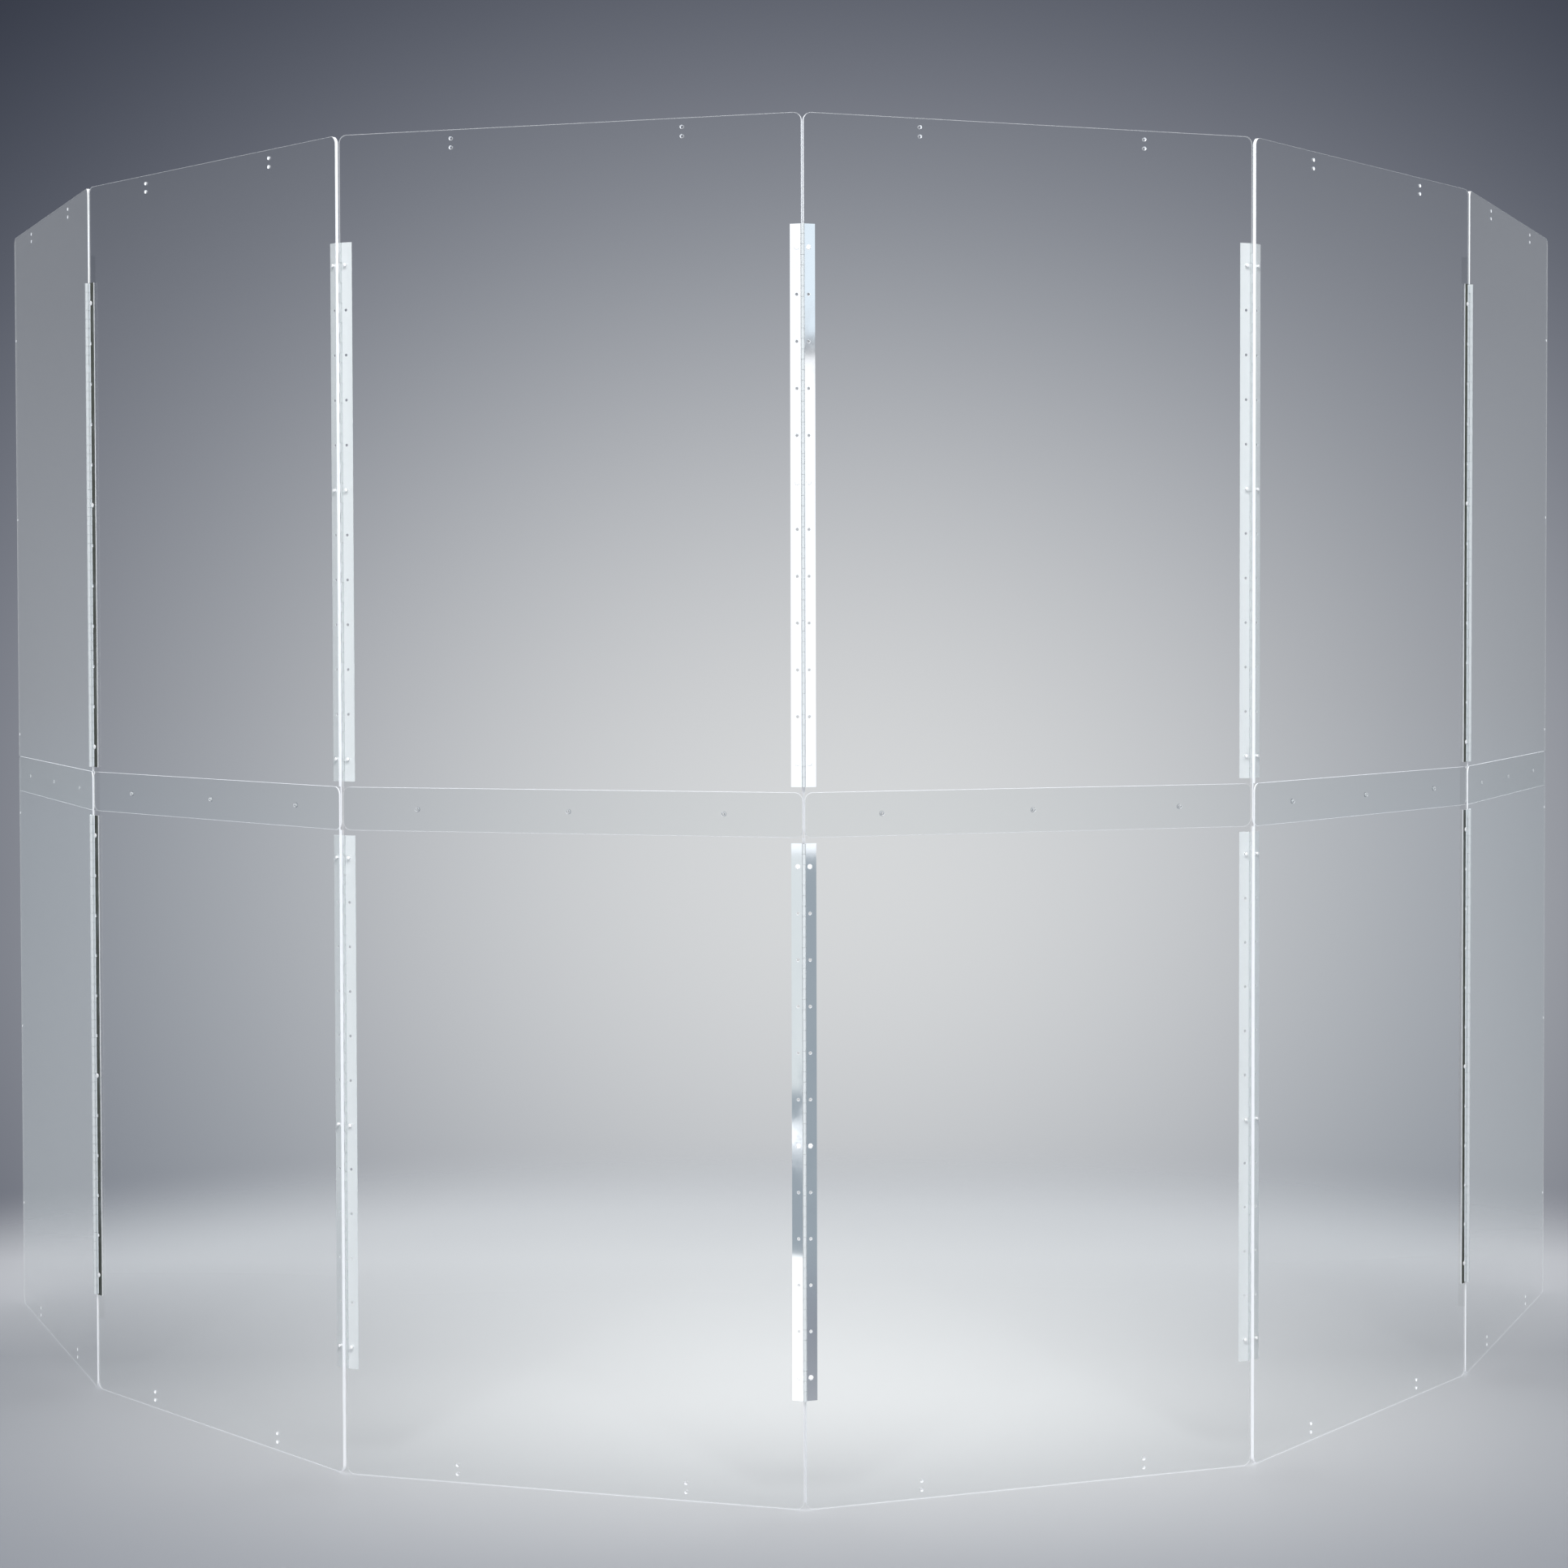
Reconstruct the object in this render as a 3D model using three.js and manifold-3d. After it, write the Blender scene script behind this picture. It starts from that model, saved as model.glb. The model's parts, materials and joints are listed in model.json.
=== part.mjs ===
import * as THREE from 'three';
import { mergeVertices } from 'three/addons/utils/BufferGeometryUtils.js';
import Module from 'manifold-3d';

const wasm = await Module();
wasm.setup();

// Folding drum shield in two tiers of six clear panels. Lengths are in millimetres, angles in degrees.
// +Z is up, the audience is on the -Y side and the drummer on the +Y side.

const panelCount = 6;
const clearance = 0.3;
const cutOverrun = 5;
const weldDistance = 0.0001;

const panel = {
  width: 609.6,
  height: 883,
  sheet: 4.5,
  cornerRadius: 10.2,
  lap: 55,
};

// The plan direction of the first panel, then how far each seam turns the next one towards the drummer.
const firstPanelAngle = 66.6;
const seamFoldAngles = [19.3, 31.2, 35.1, 32.4, 14.3];

// How far the panels at a hinge on each side of the screen turn past flat, until their edges meet.
// The hinges take turns, so the ones on the audience's side let the screen bend round the drummer.
const pastFlatAngles = { drummer: 15.8, audience: 38.3 };

const hinge = {
  holePitch: 57.15,
  holeCount: 12,
  leafReach: 16.5,
  leafSheet: 0.9,
  pinRadius: 1.2,
  pastLap: 7,
  holeToAxis: 8.2,
  holeRadius: 1.8,
  knuckleGap: 0.4,
};

// The holes that hold a rivet, counted from the end of the hinge that is away from the lap.
const rivetedHoles = [1, 6, 12];

const stud = {
  holeRadius: 2.2,
  headRadius: 3.2,
  headHeight: 0.8,
};

const tieHole = {
  radius: 2.2,
  fromEnd: 10.8,
  pitch: 11.4,
};

// Where holes lie along a panel, as shares of its width.
const lapHoleShares = [1 / 6, 1 / 2, 5 / 6];
const tieHoleShares = [1 / 4, 3 / 4];

const facets = {
  corner: 3,
  hole: 6,
  curl: 5,
  pin: 8,
  stud: 6,
};

// How far round its pin a knuckle is rolled.
const curlAngle = 290;

const barrelRadius = hinge.pinRadius + clearance + hinge.leafSheet;
const axisToPanel = barrelRadius + clearance;
const hingeLength = hinge.holePitch * hinge.holeCount;
const lapFace = panel.height - panel.lap;
const hingeMiddle = panel.lap + hinge.pastLap + hingeLength / 2;

const acrylic = { color: 0xdfe8ec, roughness: 0.08, metalness: 0, opacity: 0.35, transparent: true };
const plated = { color: 0xc9cdd0, roughness: 0.28, metalness: 1 };
const steel = { color: 0x8f9499, roughness: 0.35, metalness: 1 };
const nylon = { color: 0xe8eef0, roughness: 0.2, metalness: 0, opacity: 0.5, transparent: true };

function named(name, geometry, look) {
  const mesh = new THREE.Mesh(geometry, new THREE.MeshStandardMaterial({ ...look, flatShading: true }));
  mesh.name = name;
  return mesh;
}

function toSolid(geometry) {
  const bare = new THREE.BufferGeometry();
  bare.setAttribute('position', geometry.getAttribute('position').clone());
  if (geometry.index) {
    bare.setIndex(geometry.index.clone());
  }
  const merged = mergeVertices(bare, weldDistance);
  const corners = [];
  for (let n = 0; n < merged.index.count; n += 3) {
    const [a, b, c] = [0, 1, 2].map((k) => merged.index.getX(n + k));
    if (a !== b && b !== c && c !== a) {
      corners.push(a, b, c);
    }
  }
  return new wasm.Manifold(new wasm.Mesh({
    numProp: 3,
    vertProperties: new Float32Array(merged.getAttribute('position').array),
    triVerts: new Uint32Array(corners),
  }));
}

function toGeometry(solid) {
  const mesh = solid.getMesh();
  const geometry = new THREE.BufferGeometry();
  geometry.setAttribute('position', new THREE.BufferAttribute(new Float32Array(mesh.vertProperties), 3));
  geometry.setIndex(new THREE.BufferAttribute(new Uint32Array(mesh.triVerts), 1));
  geometry.computeVertexNormals();
  return geometry;
}

// A hole's outline, with its flats at the radius so that what passes through keeps its clearance.
function ring(x, y, radius) {
  const corner = radius / Math.cos(Math.PI / facets.hole);
  const points = [];
  for (let n = 0; n < facets.hole; n += 1) {
    const angle = (n * 2 * Math.PI) / facets.hole;
    points.push(new THREE.Vector2(x + corner * Math.cos(angle), y + corner * Math.sin(angle)));
  }
  return points;
}

// A flat outline drawn in X and Z becomes a sheet that runs from the plane Y = 0 towards the audience.
function sheetOf(outline, holes, thickness) {
  const shape = new THREE.Shape(outline);
  for (const hole of holes) {
    shape.holes.push(new THREE.Path(hole));
  }
  const geometry = new THREE.ExtrudeGeometry(shape, { depth: thickness, bevelEnabled: false });
  return geometry.rotateX(Math.PI / 2);
}

function roundedOutline(width, height, radius) {
  const corners = [
    [width - radius, radius, -90],
    [width - radius, height - radius, 0],
    [radius, height - radius, 90],
    [radius, radius, 180],
  ];
  const points = [];
  for (const [x, y, start] of corners) {
    for (let n = 0; n <= facets.corner; n += 1) {
      const angle = THREE.MathUtils.degToRad(start + (90 * n) / facets.corner);
      points.push(new THREE.Vector2(x + radius * Math.cos(angle), y + radius * Math.sin(angle)));
    }
  }
  return points;
}

function seamSide(seam) {
  return seam % 2 === 1 ? 'audience' : 'drummer';
}

// How far the edge of a panel stands back from the axis of its hinge.
function edgeToAxis(seam) {
  const halfTurn = THREE.MathUtils.degToRad(pastFlatAngles[seamSide(seam)] / 2);
  return (axisToPanel + panel.sheet) * Math.tan(halfTurn);
}

// The axis of a seam in the frame of a column, which has its origin at the foot of the panel's left edge,
// on the drummer's face. Seam n is on the right of column n.
function axisPlace(seam, column) {
  const x = seam < column ? -edgeToAxis(seam) : panel.width + edgeToAxis(seam);
  const y = seamSide(seam) === 'drummer' ? axisToPanel : -panel.sheet - axisToPanel;
  return new THREE.Vector2(x, y);
}

// Heights of the riveted holes above the lap edge of a panel.
function rivetHeights() {
  const freeEnd = hingeMiddle + hingeLength / 2;
  return rivetedHoles.map((n) => freeEnd - (n - 1 / 2) * hinge.holePitch);
}

// One panel, standing on its lap edge. The lap keeps the half of the sheet on the drummer's side.
function panelGeometry(column) {
  const holes = [];
  for (const share of lapHoleShares) {
    holes.push(ring(share * panel.width, panel.lap / 2, stud.holeRadius));
  }
  for (const share of tieHoleShares) {
    for (const n of [0, 1]) {
      const height = panel.height - tieHole.fromEnd - n * tieHole.pitch;
      holes.push(ring(share * panel.width, height, tieHole.radius));
    }
  }
  const leftHole = hinge.holeToAxis - edgeToAxis(column - 1);
  const rightHole = panel.width + edgeToAxis(column) - hinge.holeToAxis;
  for (const height of rivetHeights()) {
    for (const x of [leftHole, rightHole]) {
      holes.push(ring(x, height, hinge.holeRadius));
    }
  }
  const outline = roundedOutline(panel.width, panel.height, panel.cornerRadius);
  const blank = toSolid(sheetOf(outline, holes, panel.sheet));
  const kept = (panel.sheet - clearance) / 2;
  const rebateHeight = panel.lap + clearance + cutOverrun;
  const rebate = new THREE.BoxGeometry(panel.width + 2 * cutOverrun, panel.sheet, rebateHeight);
  rebate.translate(panel.width / 2, -kept - panel.sheet / 2, rebateHeight / 2 - cutOverrun);
  return toGeometry(blank.subtract(toSolid(rebate)));
}

// The section of one knuckle: a strip of the leaf rolled round the pin, with the axis at the origin.
function knuckleGeometry(length, tab) {
  const inner = barrelRadius - hinge.leafSheet;
  const step = THREE.MathUtils.degToRad(curlAngle / facets.curl);
  const innerCorner = inner / Math.cos(step / 2);
  const at = (radius, n) => {
    const angle = -Math.PI / 2 - n * step;
    return new THREE.Vector2(radius * Math.cos(angle), radius * Math.sin(angle));
  };
  const points = [new THREE.Vector2(tab, -barrelRadius)];
  for (let n = 0; n <= facets.curl; n += 1) {
    points.push(at(barrelRadius, n));
  }
  for (let n = facets.curl; n > 0; n -= 1) {
    points.push(at(innerCorner, n));
  }
  points.push(at(inner, 0));
  points.push(new THREE.Vector2(tab, -inner));
  return new THREE.ExtrudeGeometry(new THREE.Shape(points), { depth: length, bevelEnabled: false });
}

// The leaf on the right of a seam on the drummer's side, with the axis at X = Y = 0 and its middle at Z = 0.
// It has every second knuckle, so the same leaf turned half round fits the left side.
function leafGeometry(holeHeights) {
  const cutBack = barrelRadius + 2 * clearance;
  const outline = [
    new THREE.Vector2(cutBack, -hingeLength / 2),
    new THREE.Vector2(hinge.leafReach, -hingeLength / 2),
    new THREE.Vector2(hinge.leafReach, hingeLength / 2),
    new THREE.Vector2(cutBack, hingeLength / 2),
  ];
  const holes = holeHeights.map((height) => ring(hinge.holeToAxis, height, hinge.holeRadius));
  const strip = sheetOf(outline, holes, hinge.leafSheet);
  let solid = toSolid(strip.translate(0, hinge.leafSheet - barrelRadius, 0));
  const knuckleLength = hinge.holePitch - hinge.knuckleGap;
  const tab = (cutBack + hinge.holeToAxis - hinge.holeRadius) / 2;
  for (let n = 0; n < hinge.holeCount; n += 2) {
    const start = n * hinge.holePitch - hingeLength / 2 + hinge.knuckleGap / 2;
    solid = solid.add(toSolid(knuckleGeometry(knuckleLength, tab).translate(0, 0, start)));
  }
  return toGeometry(solid);
}

function pinGeometry() {
  const pin = new THREE.CylinderGeometry(hinge.pinRadius, hinge.pinRadius, hingeLength, facets.pin);
  return pin.rotateX(Math.PI / 2);
}

// A clear stud pressed through both tiers of the lap: low head on the drummer's side, flush end outside.
function studGeometry() {
  const underHead = -clearance;
  const flush = panel.sheet;
  const shankRadius = stud.holeRadius - clearance;
  const profile = [
    [0, underHead - stud.headHeight],
    [stud.headRadius, underHead - stud.headHeight],
    [stud.headRadius, underHead],
    [shankRadius, underHead],
    [shankRadius, flush],
    [0, flush],
  ];
  const points = profile.map(([radius, out]) => new THREE.Vector2(radius, out));
  return toGeometry(toSolid(new THREE.LatheGeometry(points, facets.stud)).rotate([180, 0, 0]));
}

// The lower panel of a column is the upper one turned over, so its lap is at the top and outside.
function placedPanel(tier, column) {
  const geometry = panelGeometry(column);
  if (tier === 'upper') {
    return geometry.translate(0, 0, lapFace);
  }
  return geometry.rotateX(Math.PI).translate(0, -panel.sheet, panel.height);
}

function hingeHeight(tier) {
  return tier === 'upper' ? lapFace + hingeMiddle : panel.height - hingeMiddle;
}

function rivetsFromMiddle(tier) {
  const fromMiddle = rivetHeights().map((height) => height - hingeMiddle);
  return tier === 'upper' ? fromMiddle : fromMiddle.map((height) => -height);
}

// A leaf turned to its side of the seam and of the screen. Half a turn that upends it also upends its holes.
function turnedLeaf(tier, seam, isLeft) {
  const upright = rivetsFromMiddle(tier);
  const upended = upright.map((height) => -height);
  if (seamSide(seam) === 'drummer') {
    return isLeft ? leafGeometry(upended).rotateY(Math.PI) : leafGeometry(upright);
  }
  return isLeft ? leafGeometry(upright).rotateZ(Math.PI) : leafGeometry(upended).rotateX(Math.PI);
}

// The leaf that a column carries at one of its seams. The column on the left of the seam carries the pin too.
function hingePieces(tier, seam, column) {
  const isLeft = seam === column;
  const name = `${tier}_hinge_${seam}`;
  const { x, y } = axisPlace(seam, column);
  const leaf = turnedLeaf(tier, seam, isLeft).translate(x, y, hingeHeight(tier));
  const pieces = [named(`${name}_${isLeft ? 'left' : 'right'}_leaf`, leaf, plated)];
  if (isLeft) {
    pieces.push(named(`${name}_pin`, pinGeometry().translate(x, y, hingeHeight(tier)), steel));
  }
  return pieces;
}

// Everything that turns together: a panel of each tier, the studs of its lap and its hinge leaves.
function columnPieces(column) {
  const seams = [column - 1, column].filter((seam) => seam > 0 && seam < panelCount);
  const pieces = [];
  for (const tier of ['lower', 'upper']) {
    pieces.push(named(`${tier}_panel_${column}`, placedPanel(tier, column), acrylic));
    for (const seam of seams) {
      pieces.push(...hingePieces(tier, seam, column));
    }
  }
  lapHoleShares.forEach((share, n) => {
    const geometry = studGeometry().translate(share * panel.width, 0, lapFace + panel.lap / 2);
    pieces.push(named(`lap_stud_${column}_${n + 1}`, geometry, nylon));
  });
  return pieces;
}

// Turns a point of a column's frame by the column's direction.
function turned(point, turn) {
  return point.rotateAround(new THREE.Vector2(0, 0), turn);
}

function build() {
  const shield = new THREE.Group();
  shield.name = 'drum_shield';
  let axis = new THREE.Vector2(0, 0);
  let angle = firstPanelAngle;
  for (let column = 1; column <= panelCount; column += 1) {
    const turn = THREE.MathUtils.degToRad(-angle);
    const foot = axis.clone().sub(turned(axisPlace(column - 1, column), turn));
    for (const piece of columnPieces(column)) {
      piece.geometry.rotateZ(turn).translate(foot.x, foot.y, 0);
      shield.add(piece);
    }
    axis = foot.clone().add(turned(axisPlace(column, column), turn));
    angle -= column < panelCount ? seamFoldAngles[column - 1] : 0;
  }
  const box = new THREE.Box3().setFromObject(shield);
  const middle = box.getCenter(new THREE.Vector3());
  for (const piece of shield.children) {
    piece.geometry.translate(-middle.x, -middle.y, -box.min.z);
  }
  return shield;
}

export default build();
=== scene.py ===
import json
import math

import bmesh
import bpy
from mathutils import Euler, Matrix, Vector


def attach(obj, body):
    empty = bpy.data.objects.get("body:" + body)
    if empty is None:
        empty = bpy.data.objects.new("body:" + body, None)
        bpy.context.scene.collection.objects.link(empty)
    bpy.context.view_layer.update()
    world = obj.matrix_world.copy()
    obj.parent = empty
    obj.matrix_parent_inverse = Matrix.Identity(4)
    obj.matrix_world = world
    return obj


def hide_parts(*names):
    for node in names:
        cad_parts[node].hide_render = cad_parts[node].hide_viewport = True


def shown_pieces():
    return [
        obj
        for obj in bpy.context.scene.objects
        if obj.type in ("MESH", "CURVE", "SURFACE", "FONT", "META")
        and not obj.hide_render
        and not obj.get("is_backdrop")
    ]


# Folding clear drum shield. Metres, +Z up, the audience on the -Y side.
# Each column has its own frame, with its origin at the foot of the panel's left edge:
# x runs along the panel, y is 0 on the drummer's face and falls towards the audience.

mm = 0.001

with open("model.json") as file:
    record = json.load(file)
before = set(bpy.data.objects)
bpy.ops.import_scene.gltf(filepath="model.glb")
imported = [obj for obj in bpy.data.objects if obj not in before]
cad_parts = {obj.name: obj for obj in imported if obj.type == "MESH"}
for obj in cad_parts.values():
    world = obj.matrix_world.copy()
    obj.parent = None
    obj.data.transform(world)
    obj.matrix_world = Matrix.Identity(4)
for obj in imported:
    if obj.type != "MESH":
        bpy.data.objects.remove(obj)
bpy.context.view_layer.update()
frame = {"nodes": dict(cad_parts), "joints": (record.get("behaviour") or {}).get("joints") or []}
scene = bpy.context.scene
print("frame loaded,", len(frame["nodes"]), "nodes")

# shader groups shared by several finishes


def socketAdd(tree, name, way, kind, value=None):
    socket = tree.interface.new_socket(name, in_out=way, socket_type=kind)
    if value is not None:
        socket.default_value = value
    return socket


def put(tree, kind, wires=None, **settings):
    node = tree.nodes.new(kind)
    for key, value in settings.items():
        setattr(node, key, value)
    for name, source in (wires or {}).items():
        socket = node.inputs[name]
        if isinstance(source, bpy.types.NodeSocket):
            tree.links.new(source, socket)
        else:
            socket.default_value = source
    return node


def math2(tree, operation, a, b=0.0, clamp=False):
    return put(tree, "ShaderNodeMath", {0: a, 1: b}, operation=operation, use_clamp=clamp).outputs[0]


def times(tree, a, b):
    return math2(tree, "MULTIPLY", a, b)


def plus(tree, a, b):
    return math2(tree, "ADD", a, b)


def minus(tree, a, b):
    return math2(tree, "SUBTRACT", a, b)


def vector(tree, x=0.0, y=0.0, z=0.0):
    return put(tree, "ShaderNodeCombineXYZ", {0: x, 1: y, 2: z}).outputs[0]


def parts(tree, direction):
    return put(tree, "ShaderNodeSeparateXYZ", {0: direction}).outputs


def lengthOf(tree, direction):
    return put(tree, "ShaderNodeVectorMath", {0: direction}, operation="LENGTH").outputs["Value"]


def rangeOf(tree, value, low, high, toLow, toHigh, smooth=False):
    node = put(
        tree,
        "ShaderNodeMapRange",
        {"Value": value, "From Min": low, "From Max": high, "To Min": toLow, "To Max": toHigh},
        interpolation_type="SMOOTHSTEP" if smooth else "LINEAR",
    )
    return node.outputs[0]


def shaderGroup(name, inputs, outputs):
    group = bpy.data.node_groups.new(name, "ShaderNodeTree")
    for label, value in inputs.items():
        socketAdd(group, label, "INPUT", "NodeSocketFloat", value)
    for label, kind in outputs.items():
        socketAdd(group, label, "OUTPUT", kind)
    source = group.nodes.new("NodeGroupInput")
    sink = group.nodes.new("NodeGroupOutput")
    return group, source.outputs, sink.inputs


def stretchedNoise(tree, coordinates, stretch, scale, detail, roughness=0.5):
    mapping = put(tree, "ShaderNodeMapping", {"Vector": coordinates, "Scale": stretch})
    noise = put(
        tree,
        "ShaderNodeTexNoise",
        {"Vector": mapping.outputs[0], "Scale": scale, "Detail": detail, "Roughness": roughness},
    )
    return noise.outputs["Fac"]


def grainGroup():
    # fine lines left by drawing or rolling along the height of a strip
    group, given, out = shaderGroup(
        "drawnGrain", {"Fineness": 1.0}, {"Fac": "NodeSocketFloat", "Height": "NodeSocketFloat"}
    )
    share = {"lines": 0.65, "blotch": 0.35}
    where = group.nodes.new("ShaderNodeTexCoord").outputs["Object"]
    lines = stretchedNoise(group, where, (1, 1, 0.012), 2600, 3)
    blotch = stretchedNoise(group, where, (1, 1, 0.25), 38, 2)
    fine = times(group, lines, given["Fineness"])
    both = plus(group, times(group, fine, share["lines"]), times(group, blotch, share["blotch"]))
    group.links.new(both, out["Fac"])
    group.links.new(fine, out["Height"])
    return group


def smudgeGroup():
    # soft wiping marks and a little dust
    group, given, out = shaderGroup(
        "wipeMarks", {"Size": 1.0, "Amount": 1.0}, {"Fac": "NodeSocketFloat", "Dust": "NodeSocketFloat"}
    )
    span = {"marks": (0.45, 0.75), "dust": (0.74, 0.82)}  # of the noise, from none to full
    where = group.nodes.new("ShaderNodeTexCoord").outputs["Object"]
    sized = put(group, "ShaderNodeVectorMath", {0: where}, operation="SCALE")
    group.links.new(given["Size"], sized.inputs["Scale"])
    broad = stretchedNoise(group, sized.outputs[0], (1, 1, 0.6), 3.2, 3, 0.55)
    swirl = stretchedNoise(group, sized.outputs[0], (1, 1, 2.2), 11, 4, 0.6)
    marks = times(group, rangeOf(group, broad, *span["marks"], 0, 1), swirl)
    specks = stretchedNoise(group, sized.outputs[0], (1, 1, 1), 900, 1)
    dust = rangeOf(group, specks, *span["dust"], 0, 1)
    for label, effect in (("Fac", marks), ("Dust", dust)):
        group.links.new(math2(group, "MULTIPLY", effect, given["Amount"], True), out[label])
    return group


drawnGrain = grainGroup()
wipeMarks = smudgeGroup()


def newMaterial(name):
    material = bpy.data.materials.new(name)
    material.use_nodes = True
    tree = material.node_tree
    tree.nodes.clear()
    output = tree.nodes.new("ShaderNodeOutputMaterial")
    shader = tree.nodes.new("ShaderNodeBsdfPrincipled")
    tree.links.new(shader.outputs[0], output.inputs["Surface"])
    return material, tree, shader, output


def setSockets(shader, values):
    for name, value in values.items():
        shader.inputs[name].default_value = value


def placeGroup(tree, group, **values):
    node = put(tree, "ShaderNodeGroup", node_tree=group)
    for name, value in values.items():
        node.inputs[name].default_value = value
    return node


def mixColour(tree, factor, a, b):
    node = put(tree, "ShaderNodeMix", data_type="RGBA")
    for socket, value in ((node.inputs[0], factor), (node.inputs[6], a), (node.inputs[7], b)):
        if isinstance(value, bpy.types.NodeSocket):
            tree.links.new(value, socket)
        else:
            socket.default_value = value
    return node.outputs[2]


def varyWith(tree, shader, factor, look):
    # the colour and the roughness go from their first value to their second as the factor grows
    colour = mixColour(tree, factor, *look["colours"])
    tree.links.new(colour, shader.inputs["Base Color"])
    tree.links.new(rangeOf(tree, factor, *look["span"], *look["rough"]), shader.inputs["Roughness"])
    return colour


def addBump(tree, shader, height, strength, distance):
    bump = put(tree, "ShaderNodeBump", {"Height": height, "Strength": strength, "Distance": distance})
    tree.links.new(bump.outputs[0], shader.inputs["Normal"])


def clearWhere(tree, factor, shader, tint=(1, 1, 1, 1)):
    # the shader gives way to clear as the factor grows
    clear = put(tree, "ShaderNodeBsdfTransparent", {"Color": tint})
    return put(tree, "ShaderNodeMixShader", {0: factor, 1: shader.outputs[0], 2: clear.outputs[0]})


def letLampsThrough(tree, shader, output):
    # clear pieces cast no dark shadow
    shadowRay = tree.nodes.new("ShaderNodeLightPath").outputs["Is Shadow Ray"]
    mix = clearWhere(tree, shadowRay, shader, (0.96, 0.97, 0.97, 1))
    tree.links.new(mix.outputs[0], output.inputs["Surface"])


def clearAcrylicMaterial():
    look = {"tint": (0.985, 0.992, 0.99, 1), "dusty": (0.95, 0.955, 0.96, 1), "rough": (0.0, 0.012)}
    material, tree, shader, output = newMaterial("clearAcrylic")
    setSockets(shader, {"Transmission Weight": 1.0, "IOR": 1.491, "Metallic": 0.0})
    marks = placeGroup(tree, wipeMarks, Size=1.0, Amount=1.0).outputs
    tree.links.new(mixColour(tree, marks["Dust"], look["tint"], look["dusty"]), shader.inputs["Base Color"])
    tree.links.new(rangeOf(tree, marks["Fac"], 0, 1, *look["rough"]), shader.inputs["Roughness"])
    letLampsThrough(tree, shader, output)
    return material


def frostedEdgeMaterial():
    # sawn and flamed edges gather the light of the whole sheet, painted here as a faint glow in the edge's
    # own colour; seen through the sheet they are fainter
    look = {
        "colours": ((0.90, 0.905, 0.92, 1), (0.78, 0.80, 0.83, 1)),
        "span": (0.2, 0.8),
        "rough": (0.3, 0.55),
        "glow": 0.02,
        "inside": 0.5,  # how clear the edge is to what looks at it from inside the sheet
    }
    material, tree, shader, output = newMaterial("frostedEdge")
    # the emission paints a faint glow on the edges, though they are no lamp
    setSockets(shader, {"IOR": 1.491, "Emission Strength": look["glow"], "Metallic": 0.0})
    grain = placeGroup(tree, drawnGrain, Fineness=1.0).outputs
    tree.links.new(varyWith(tree, shader, grain["Fac"], look), shader.inputs["Emission Color"])
    addBump(tree, shader, grain["Height"], 0.2, 0.1 * mm)
    inner = tree.nodes.new("ShaderNodeNewGeometry").outputs["Backfacing"]
    letLampsThrough(tree, clearWhere(tree, times(tree, inner, look["inside"]), shader), output)
    return material


def platedLeafMaterial():
    # polished by buffing, so only broad soft ripples and a few wiping marks are left
    look = {
        "colours": ((0.95, 0.965, 0.98, 1), (0.88, 0.90, 0.925, 1)),
        "rough": (0.045, 0.12),
        "marked": 0.6,  # the mark at which the roughness is full
    }
    material, tree, shader, _ = newMaterial("brightPlate")
    setSockets(shader, {"Metallic": 1.0})
    grain = placeGroup(tree, drawnGrain, Fineness=0.2)
    marks = placeGroup(tree, wipeMarks, Size=9.0, Amount=1.0).outputs["Fac"]
    tree.links.new(mixColour(tree, marks, *look["colours"]), shader.inputs["Base Color"])
    tree.links.new(rangeOf(tree, marks, 0.0, look["marked"], *look["rough"]), shader.inputs["Roughness"])
    addBump(tree, shader, grain.outputs["Height"], 0.02, 0.02 * mm)
    return material


def dullMetalMaterial(name, light, dark):
    # unpolished strip, pale and nearly even
    look = {"colours": (light, dark), "span": (0.2, 0.8), "rough": (0.38, 0.52)}
    material, tree, shader, _ = newMaterial(name)
    setSockets(shader, {"Metallic": 0.15})
    grain = placeGroup(tree, drawnGrain, Fineness=0.6).outputs
    varyWith(tree, shader, grain["Fac"], look)
    addBump(tree, shader, grain["Height"], 0.05, 0.03 * mm)
    return material


def drawnWireMaterial():
    look = {
        "colours": ((0.62, 0.64, 0.66, 1), (0.42, 0.44, 0.46, 1)),
        "span": (0.2, 0.8),
        "rough": (0.24, 0.42),
    }
    material, tree, shader, _ = newMaterial("drawnWire")
    setSockets(shader, {"Metallic": 1.0})
    varyWith(tree, shader, placeGroup(tree, drawnGrain, Fineness=1.4).outputs["Fac"], look)
    return material


def rivetMaterial():
    look = {
        "colours": ((0.98, 0.98, 0.98, 1), (0.90, 0.905, 0.91, 1)),
        "span": (0, 1),
        "rough": (0.42, 0.6),
    }
    material, tree, shader, _ = newMaterial("rivetAluminium")
    setSockets(shader, {"Metallic": 0.15})
    varyWith(tree, shader, placeGroup(tree, wipeMarks, Size=60.0, Amount=1.0).outputs["Fac"], look)
    return material


def clearStudMaterial():
    look = {
        "colours": ((0.97, 0.98, 0.98, 1), (0.9, 0.92, 0.93, 1)),
        "span": (0, 1),
        "rough": (0.05, 0.2),
    }
    material, tree, shader, output = newMaterial("clearStud")
    setSockets(shader, {"Transmission Weight": 1.0, "IOR": 1.5, "Metallic": 0.0})
    varyWith(tree, shader, placeGroup(tree, wipeMarks, Size=40.0, Amount=1.0).outputs["Fac"], look)
    letLampsThrough(tree, shader, output)
    return material


clearAcrylic = clearAcrylicMaterial()
frostedEdge = frostedEdgeMaterial()
brightPlate = platedLeafMaterial()
millFinish = dullMetalMaterial("millFinish", (0.96, 0.975, 0.985, 1), (0.90, 0.925, 0.945, 1))
rolledBarrel = dullMetalMaterial("rolledBarrel", (0.72, 0.75, 0.76, 1), (0.62, 0.655, 0.67, 1))
drawnWire = drawnWireMaterial()
rivetAluminium = rivetMaterial()
clearStud = clearStudMaterial()
print("finishes ready")


# geometry node helpers


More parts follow.
